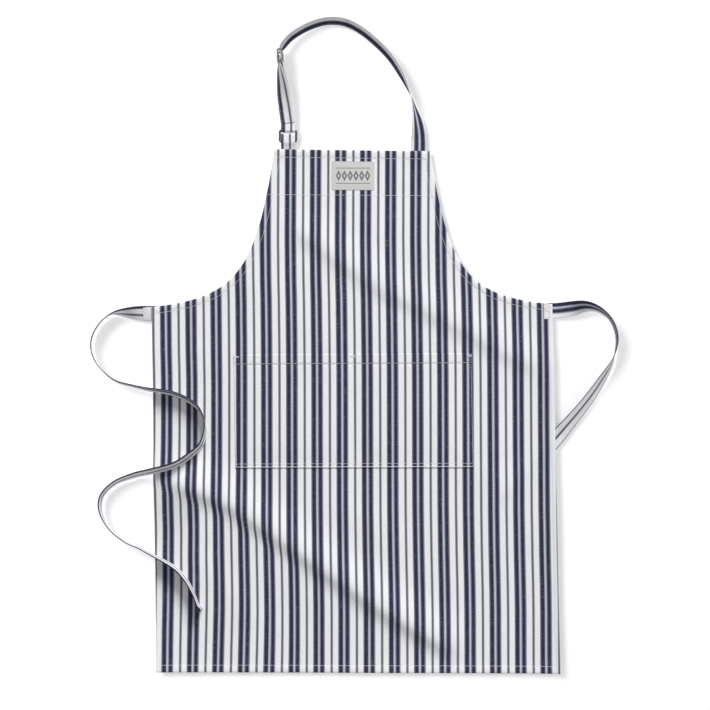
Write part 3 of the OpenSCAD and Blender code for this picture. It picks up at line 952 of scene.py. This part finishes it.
# Box of stitches where the left tie leaves the hem, on top of the hem's turned corner
BOX_HALF = 10.5
BOX_ABOVE = 1.8
left_middle = left_frames["middle"]
near_root = np.flatnonzero((left_middle[:, 0] > -346) & (left_middle[:, 0] < -333) & (left_middle[:, 1] > 0))
root_part = part_of(left_frames, near_root[0], near_root[-1] + 1)
root_rows = [on_tape(root_part, a, BOX_ABOVE) for a in np.linspace(-BOX_HALF, BOX_HALF, 7)]
root_ups = [root_part["through"]] * len(root_rows)
across_rows = np.stack([on_tape(root_part, a, BOX_ABOVE) for a in np.linspace(-BOX_HALF, BOX_HALF, 9)],
                       axis=1)
for row, up in zip(across_rows, root_part["through"]):
    root_rows.append(row)
    root_ups.append(np.tile(up, (len(row), 1)))
tie_root_thread = stitch_mesh("tie_left_root_stitches", root_rows, pitch=2.2, length=2.1, radius=0.5,
                              ups=root_ups)


def blend_left(piece):
    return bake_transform(piece)


def blend_right(piece):
    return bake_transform(piece)


for tie, thread, frames, blend_tie, nodes, exit_point in (
    (tie_left, tie_left_thread, left_frames, blend_left,
     ("tie_root_left", "waist_tie_left", "tie_end_left"), (-326, 52, 1.2)),
    (tie_right, tie_right_thread, right_frames, blend_right,
     ("tie_root_right", "waist_tie_right", "tie_tail_right"), (326, 56, 1.2)),
):
    finish_piece(tie, replaces=nodes)
    finish_piece(thread)
    blend_tie(tie)
    blend_tie(thread)

finish_piece(tie_root_thread)
blend_left(tie_root_thread)

# ------------------------------------------------------------------ body cloth
front_cloth = build_body_cloth()
finish_piece(front_cloth, "apron",
             ["body_panel", "side_hem_left", "side_hem_right", "bottom_hem"])


def under_height(above):
    """Heights for a piece that lies behind the front cloth."""
    return lambda x, y: CLOTH_Z - CLOTH_T - above + lift(x, y)


def mirror_x(points):
    return [(-x, y) for x, y in points]


facing_low = TOP_Y - FACING_DEPTH
facing_edge = [tuple(p) for p in arm_inset(2.0, np.linspace(0.0, 0.145, 12))
               if facing_low < p[1] < TOP_Y - 2]
bib_half_line = [(BIB_HALF - 1.8, TOP_Y - 1.5)] + facing_edge + [(facing_edge[-1][0] + 0.5, facing_low)]
bib_facing = sheet_object("bib_facing_cloth", bib_half_line + mirror_x(bib_half_line)[::-1], 6.0,
                          under_height(0.1), FACING, FACING_T, front_up=False)
finish_piece(bib_facing, "apron", ["bib_facing"])

arm_share = np.linspace(0.05, 0.93, 40)
arm_strip = [tuple(p) for p in arm_inset(1.2, arm_share)]
arm_strip += [tuple(p) for p in arm_inset(ROW_ARM - 0.5, arm_share)[::-1]]
for side, name in ((1, "right"), (-1, "left")):
    shape = arm_strip if side > 0 else mirror_x(arm_strip)[::-1]
    strip = sheet_object(f"armhole_facing_cloth_{name}", shape, 4.0,
                         lambda x, y: UNDER_Z + 1.2 + 0.9 * lift(x, y), FACING, FACING_T, front_up=False)
    finish_piece(strip, "apron", [f"armhole_facing_{name}"])

# Stitch rows on the front cloth
arm_row = arm_inset(ROW_ARM, np.linspace(0.035, 0.985, 160))
bib_x = BIB_HALF - 3
low_row_y = TOP_Y - (FACING_DEPTH - 2)
low_row_x = float(np.interp(-low_row_y, -ARM_LINE[:, 1], ARM_LINE[:, 0])) - 2
side_row_x = SKIRT_HALF - ROW_SIDE
bottom_row_y = BOTTOM_Y + ROW_BOTTOM
rows = {
    "bib_stitches": ([[(-bib_x, TOP_Y - ROW_TOP), (bib_x, TOP_Y - ROW_TOP)],
                      [(-low_row_x, low_row_y), (low_row_x, low_row_y)]], "thread_bib"),
    "armhole_stitches_right": ([arm_row], "thread_armhole_right"),
    "armhole_stitches_left": ([arm_row * [-1, 1]], "thread_armhole_left"),
    "side_stitches": ([[(x, CORNER_Y - 2), (x, BOTTOM_Y + 1)] for x in (-side_row_x, side_row_x)],
                      "thread_sides"),
    "bottom_stitches": ([[(-SKIRT_HALF + 1, bottom_row_y), (SKIRT_HALF - 1, bottom_row_y)]],
                        "thread_bottom"),
}
for name, (lines, node) in rows.items():
    finish_piece(stitch_mesh(name, [on_cloth(line) for line in lines]), "apron", [node])

# Turned corners of the side hems, over the ties' roots
right_patch = sheet_object("hem_corner_right", [(316, 39), (326.5, 39), (327, 63), (316, 66)], 2.5,
                           lambda x, y: cloth_top(x, y) + 0.45, FACING, FACING_T)
finish_piece(right_patch, "apron")


def on_left_root(x, y):
    """Height just above the left tie where it leaves the hem; it rises towards its fold."""
    cloth_lean, tie_middle_y = 5.4, 52.4
    turn = np.radians(np.interp(cloth_lean - x, [332, 350], [4, 16]))  # the twist, as in LEFT_TIE
    return 2.6 + TAPE_W / 2 * np.sin(turn) + (y - tie_middle_y) * np.tan(turn)


left_patch = sheet_object("hem_corner_left", [(-344, 43), (-330.5, 42.5), (-330.5, 63), (-344, 62)], 2.5,
                          on_left_root, FACING, FACING_T)
finish_piece(left_patch)
blend_left(left_patch)
patch_rows = [on_cloth([(x, 40.5), (x, 63)], 0.62) for x in (317.5, 321.3, 325.1)]
patch_rows += [on_cloth([(317, y), (326, y)], 0.62) for y in (41, 52, 63)]
finish_piece(stitch_mesh("hem_corner_stitches", patch_rows, pitch=2.4, length=2.0), "apron")

# ------------------------------------------------------------------ label
label_mid = (label_low + label_high) / 2
label_half = (label_high - label_low) / 2
LABEL_SHIFT = 5  # undoes the lean of the cloth, so that the label ends up at its node


def label_height(x, y):
    """The label lies on the cloth, with its edges pulled down by their stitches."""
    edge = np.minimum(label_half[0] - np.abs(x - label_mid[0]), label_half[1] - np.abs(y - label_mid[1]))
    return cloth_top(x, y) + 0.55 + 0.35 * smoothstep((edge - 1.5) / 6)


def label_outline(inset, r):
    """The label's outline moved inwards, with corners of radius r."""
    hx, hy = label_half[:2] - inset - r
    points = []
    for sx, sy, a0 in ((1, 1, 0), (-1, 1, 90), (-1, -1, 180), (1, -1, 270)):
        for a in np.radians(a0 + np.linspace(0, 90, 6)):
            points.append((label_mid[0] + LABEL_SHIFT + sx * hx + r * math.cos(a),
                           label_mid[1] + sy * hy + r * math.sin(a)))
    return points


label = sheet_object("woven_label_cloth", label_outline(0.0, 1.2), 3.0,
                     lambda x, y: label_height(x - LABEL_SHIFT, y), LABEL, 0.4)
label_uv = label.data.uv_layers["Cut"]
for loop in label.data.loops:
    co = label.data.vertices[loop.vertex_index].co
    label_uv.data[loop.index].uv = (co.x - label_mid[0] * MM, co.y - label_mid[1] * MM)
finish_piece(label, "apron", ["label"])

row_outline = label_outline(1.6, 0.5)
row_x, row_y = flat_line(row_outline + row_outline[:1], 1.2)
label_row = laid(row_x, row_y, label_height(row_x - LABEL_SHIFT, row_y) + 0.05)
finish_piece(stitch_mesh("label_stitches", [label_row], pitch=2.6, length=1.9, radius=0.2),
             "apron", ["thread_label"])

# ------------------------------------------------------------------ pocket
POCKET_HALF = pocket_high[0]
POCKET_TOP = pocket_high[1]
POCKET_BOTTOM = pocket_low[1]
POCKET_EDGE = 3.4   # width of the sewn edge
POCKET_HEM = 17.0
POCKET_SHIFT = 0.1  # the pocket's stripes don't quite meet the front's


def pocket_height(x, y):
    """Front face of the pocket: down at its seams, slack and a little full between them."""
    to_side = POCKET_HALF - np.abs(x)
    to_middle = np.abs(x)
    to_bottom = y - POCKET_BOTTOM
    from_top = POCKET_TOP - y
    seam = np.minimum(np.minimum(to_side, to_bottom), to_middle)
    full = 1.3 * smoothstep(seam / 40) + 0.5 * smoothstep(1 - from_top / 60) * smoothstep(seam / 25)
    hem = 0.7 * smoothstep((POCKET_HEM - 0.5 - from_top) / 1.5)
    dip = 0.35 * np.exp(-((from_top - POCKET_HEM) / 1.6) ** 2)
    edge = 0.5 * smoothstep(1 - to_side / 3.5) + 0.5 * smoothstep(1 - to_bottom / 3.5)
    pull = 0.30 * np.exp(-(to_middle / 2.0) ** 2)
    pucker = 0.14 * np.exp(-(seam / 9) ** 2) * np.sin((x + 1.4 * y) / 1.8)
    return cloth_top(x, y) + 0.95 + full + hem - dip + edge - pull + pucker


def pocket_grid(name, rows_of_points):
    """Pocket cloth from rows of 3-D points that all have the same count."""
    grid = np.array(rows_of_points)
    rows_n, cols_n, _ = grid.shape
    verts = grid.reshape(-1, 3)
    faces = []
    for r in range(rows_n - 1):
        for c in range(cols_n - 1):
            a = r * cols_n + c
            faces.append([a, a + 1, a + cols_n + 1, a + cols_n])
    return make_object(name, verts, faces, CLOTH, cloth_uv(verts, faces, POCKET_SHIFT))


def pocket_quarter(name, x0, x1):
    """Free cloth of the pocket between two places across it, with its top edge turned back."""
    xs = np.linspace(x0, x1, int(abs(x1 - x0) / 4) + 1)
    y_low = POCKET_BOTTOM + POCKET_EDGE
    ys = list(np.arange(y_low, POCKET_TOP - POCKET_HEM - 2, 5)) + list(
        np.arange(POCKET_TOP - POCKET_HEM - 2, POCKET_TOP - 0.8, 1.45))
    lines = []
    for y in ys:
        lines.append(put_on(pocket_height, xs, np.full(len(xs), y)))
    # The turn at the top edge, then the back of the hem
    edge_y = np.full(len(xs), POCKET_TOP - 0.8)
    high = pocket_height(xs, edge_y)
    for out, drop in ((0.45, 0.12), (0.8, 0.55), (0.45, 1.0), (0.0, 1.12), (-7.0, 1.15), (-14.5, 1.15)):
        z = np.maximum(high - drop, cloth_top(xs, edge_y + min(out, 0)) + 0.75)
        lines.append(laid(xs, edge_y + out, z))
    return give_thickness(pocket_grid(name, lines), 0.45)


def pocket_edge_strip(inner, outer, count):
    """Sewn edge of the pocket between two lines, turned under along its outer line."""
    lines = []
    inner, outer = np.array(inner, float), np.array(outer, float)
    for share in (0.0, 0.35, 0.7, 0.9, 1.0):
        p = inner + (outer - inner) * share
        x, y = np.array([p[0] + (p[-1] - p[0]) * s for s in np.linspace(0, 1, count)]).T
        lines.append(put_on(pocket_height, x, y))
    base = cloth_top(x, y)
    full = pocket_height(x, y) - base
    return lines[:-1] + [laid(x, y, base + full * 0.75), laid(x, y, base + 0.05)]


def build_pocket_border():
    """Sides, bottom and middle seam of the pocket, which stay on the apron."""
    e = POCKET_EDGE
    h, t, b = POCKET_HALF, POCKET_TOP, POCKET_BOTTOM
    parts = {}
    for s, name in ((-1, "pocket_side_left"), (1, "pocket_side_right")):
        inner = [(s * (h - e), b + e), (s * (h - e), t)]
        outer = [(s * h, b), (s * h, t)]
        parts[name] = pocket_edge_strip(inner, outer, 48)
    parts["pocket_bottom_edge"] = pocket_edge_strip([(-h + e, b + e), (h - e, b + e)], [(-h, b), (h, b)], 98)
    ys = np.linspace(b + e, t, 48)
    parts["pocket_middle_seam"] = [put_on(pocket_height, np.full(len(ys), x), ys)
                                   for x in (-e / 2, -e / 4, 0, e / 4, e / 2)]
    pieces = [pocket_grid(name, lines) for name, lines in parts.items()]
    for piece in pieces:
        face_up(piece)
    return pieces


border = build_pocket_border()
for piece in border:
    finish_piece(piece, "apron")
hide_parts("pocket_border")

seam_x = POCKET_EDGE / 2
free_x = POCKET_HALF - POCKET_EDGE
middle_x = POCKET_HALF / 2
for side, name in ((-1, "left"), (1, "right")):
    for part, near_x in (("inner", seam_x), ("outer", free_x)):
        x0, x1 = sorted((side * near_x, side * middle_x))
        cloth = pocket_quarter(f"pocket_{name}_{part}", x0, x1)
        xs = np.arange(x0, x1, 1.5)
        row = put_on(pocket_height, xs, np.full(len(xs), POCKET_TOP - POCKET_HEM + 1.2), 0.1)
        thread = stitch_mesh(f"pocket_hem_stitches_{name}_{part}", [row])
        if part == "outer":
            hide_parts(f"pocket_panel_{name}", f"pocket_hem_{name}")
            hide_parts(f"thread_pocket_hem_{name}")
        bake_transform(cloth)
        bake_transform(thread)


def on_pocket(x0, y0, x1, y1):
    return put_on(pocket_height, *flat_line([(x0, y0), (x1, y1)], 1.2), 0.08)


def bar_tack(x, y):
    """Close rows of thread that lock a corner."""
    return [on_pocket(x - 4, y - down, x + 4, y - down) for down in (0.0, 0.8, 1.6, 2.4)]


side_x = POCKET_HALF - 1.7
pocket_rows = [on_pocket(s * side_x, POCKET_TOP - 1, s * side_x, POCKET_BOTTOM + 1.5) for s in (-1, 1)]
pocket_rows += [on_pocket(-side_x, POCKET_BOTTOM + 7.0, side_x, POCKET_BOTTOM + 7.0)]
pocket_rows += [on_pocket(0, POCKET_TOP - 1, 0, POCKET_BOTTOM + 2)]
for x in (-side_x + 2.5, 0, side_x - 2.5):
    pocket_rows += bar_tack(x, POCKET_TOP - 3)
finish_piece(stitch_mesh("pocket_stitches", pocket_rows), "apron", ["thread_pocket"])
edge_row = on_pocket(-side_x, POCKET_BOTTOM + 1.9, side_x, POCKET_BOTTOM + 1.9) + [0, 0, 0.3]
finish_piece(stitch_mesh("pocket_bottom_stitches", [edge_row], pitch=2.6, length=2.55, radius=0.55),
             "apron")

# ------------------------------------------------------------------ neck strap, ring and slider
NECK_PHASE = 22.5  # place across the stripes at the folded edge
neck_frames = tape_frames(NECK_STRAP, cups=NECK_CUP)
split_at = np.array(NECK_STRAP[NECK_SPLIT][:2], float)
split = int(np.argmin(np.linalg.norm(neck_frames["middle"][:, :2] - split_at, axis=1)))
root_frames = part_of(neck_frames, 0, split + 1)
arc_frames = part_of(neck_frames, split, None)
strap_root = tape_object("neck_strap_right", root_frames, NECK_PHASE, -1)
root_length = distances(root_frames["middle"])[-1]
strap_arc = tape_object("neck_strap_left", arc_frames, NECK_PHASE, -1, v0=root_length)
root_thread = tape_stitches("neck_strap_stitches_right", root_frames)
arc_thread = tape_stitches("neck_strap_stitches_left", arc_frames)
finish_piece(strap_root, replaces=["neck_strap_root", "neck_strap"])
finish_piece(strap_arc)
for piece in (strap_root, root_thread):
    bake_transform(piece)
for piece in (strap_arc, arc_thread):
    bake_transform(piece)
finish_piece(root_thread)
finish_piece(arc_thread)


def strand_frames(sign):
    frames = tape_frames(STRANDS, widths=STRAND_WIDTH)
    frames["middle"] = frames["middle"] + sign * frames["route"][:, 4:5] * frames["through"]
    return frames


for node, sign in (("strand_front", -1), ("strand_back", 1)):
    frames = strand_frames(sign)
    strand = tape_object(f"{node}_tape", frames, NECK_PHASE, -sign)
    thread = tape_stitches(f"{node}_stitches", frames)
    finish_piece(strand, "neck_loop", [node])
    finish_piece(thread, "neck_loop")
    for piece in (strand, thread):
        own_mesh(piece)


def loop_frames(points, x, folded_edge):
    """Frames for a tape that turns in an upright plane along Y, squeezed inside the ring."""
    line = resample(np.array([[x, y, z] for y, z in points], float), 1.0)
    way = unit(np.gradient(line, axis=0))
    across = np.tile([float(folded_edge), 0.0, 0.0], (len(line), 1))
    plain = np.zeros(len(line))
    return {"middle": line, "across": across, "through": np.cross(way, across),
            "cup": np.zeros((len(line), 2)), "width": plain + STRAND_WIDTH[-1], "thick": plain + 1}


def arc_points(cy, cz, r, a0, a1):
    return [(cy + r * math.cos(a), cz + r * math.sin(a)) for a in np.radians(np.linspace(a0, a1, 14))]


ring_mid = (ring_low + ring_high) / 2
bar_y = ring_high[1] - 1.75
ring_z = ring_mid[2]
turn_r = 2.05 + TAPE_T / 2
turn_line = [(366.5, ring_z + 2.6), (362, ring_z + 2.68), *arc_points(bar_y, ring_z, turn_r, 90, 270),
             (362, ring_z - 2.68), (366.5, ring_z - 2.6)]
turn_frames = loop_frames(turn_line, ring_mid[0], 1)
ring_turn = tape_object("ring_turn_tape", turn_frames, NECK_PHASE, -1)
finish_piece(ring_turn, "neck_loop", ["strap_ring_turn"])
finish_piece(tape_stitches("ring_turn_stitches", turn_frames), "neck_loop")

# The tab comes out from behind the bib, goes through the ring and returns
TAB_PHASE = 13.0
tab_fold_y = tab_high[1] - 3
tab_line = [(298, 1.0), (312, 1.0), (326, 1.15)] + arc_points(tab_fold_y, ring_z, 2.55, -90, 90)
tab_line += [(336, ring_z + 2.5), (331, ring_z + 2.2), (325, 3.2), (320, 1.9), (312, 1.75), (299, 1.75)]
tab_frames = loop_frames(tab_line, (tab_low[0] + tab_high[0]) / 2, -1)
tab_frames["thick"] = tab_frames["thick"] * 0.62
tab = tape_object("tab_tape", tab_frames, TAB_PHASE, 1)
finish_piece(tab, "apron", ["ring_tab"])
finish_piece(tape_stitches("tab_stitches", part_of(tab_frames, 10, -20)), "apron")

# End of the strap, turned over the slider's middle bar
SLIDER_MID = (-122.0, 472.0)
SLIDER_TILT = math.radians(5.74)
END_BAR = -4.2


def at_slider(points):
    """Route of a tape on its edge, from places measured from the slider's middle."""
    c, s = math.cos(SLIDER_TILT), math.sin(SLIDER_TILT)
    return [[SLIDER_MID[0] + c * x - s * y, SLIDER_MID[1] + s * x + c * y, 3.6, 90] for x, y in points]


end_r = 2.2
end_line = [(END_BAR - end_r, y) for y in (-10.5, -6, -1)]
end_line += [(END_BAR - end_r * math.cos(a), end_r * math.sin(a)) for a in np.linspace(0.3, math.pi - 0.3, 7)]
end_line += [(END_BAR + end_r, y) for y in (-1, -6, -10)]
end_frames = tape_frames(at_slider(end_line))
end_frames["thick"] = end_frames["thick"] * 0.85
end_loop = tape_object("end_loop_tape", end_frames, NECK_PHASE, -1)
finish_piece(end_loop, "slider_unit", ["strap_end_loop"])

for node, metal in (("ring", RING_METAL), ("slider", SLIDER_METAL)):
    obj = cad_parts[node]
    obj.data.materials.clear()
    obj.data.materials.append(metal)
    obj.data.shade_smooth()
    obj.data.set_sharp_from_angle(angle=math.radians(35))

# ------------------------------------------------------------------ floor and lights
floor_mesh = bpy.data.meshes.new("floor")
floor_z = -0.007
floor_mesh.from_pydata([(x, y, floor_z) for x, y in ((-6, -6), (6, -6), (6, 6), (-6, 6))], [], [(0, 1, 2, 3)])
floor = add_object("floor", floor_mesh)
paper = Nodes("floor_paper")
paper.surface({"Base Color": (0.95, 0.95, 0.95, 1), "Roughness": 0.9, "Emission Color": (1, 1, 1, 1),
               "Emission Strength": 0.31})
floor_mesh.materials.append(paper.material)


def area_light(name, place, target, size, power, lights_floor):
    """Soft round light that lights either the floor only or everything but the floor."""
    data = bpy.data.lights.new(name, "AREA")
    data.shape = "DISK"
    data.size = size
    data.energy = power
    light = add_object(name, data)
    light.location = place
    light.rotation_euler = (Vector(target) - Vector(place)).to_track_quat("-Z", "Y").to_euler()
    lit = bpy.data.collections.new(f"{name}_lit")
    lit.objects.link(floor)
    lit.collection_objects[0].light_linking.link_state = "INCLUDE" if lights_floor else "EXCLUDE"
    light.light_linking.receiver_collection = lit


area_light("key", (2.74, 8.4, 6.2), (0, -0.2, 0), 4.4, 1330, lights_floor=False)
area_light("floor_light", (-3.1, 2.5, 4.7), (0, 0, 0), 2.6, 190, lights_floor=True)

world = bpy.data.worlds.new("studio")
world.use_nodes = True
world.node_tree.nodes["Background"].inputs[0].default_value = (0.98, 0.985, 1, 1)
world.node_tree.nodes["Background"].inputs[1].default_value = 0.47
bpy.context.scene.world = world
bpy.context.scene.view_settings.view_transform = "Standard"
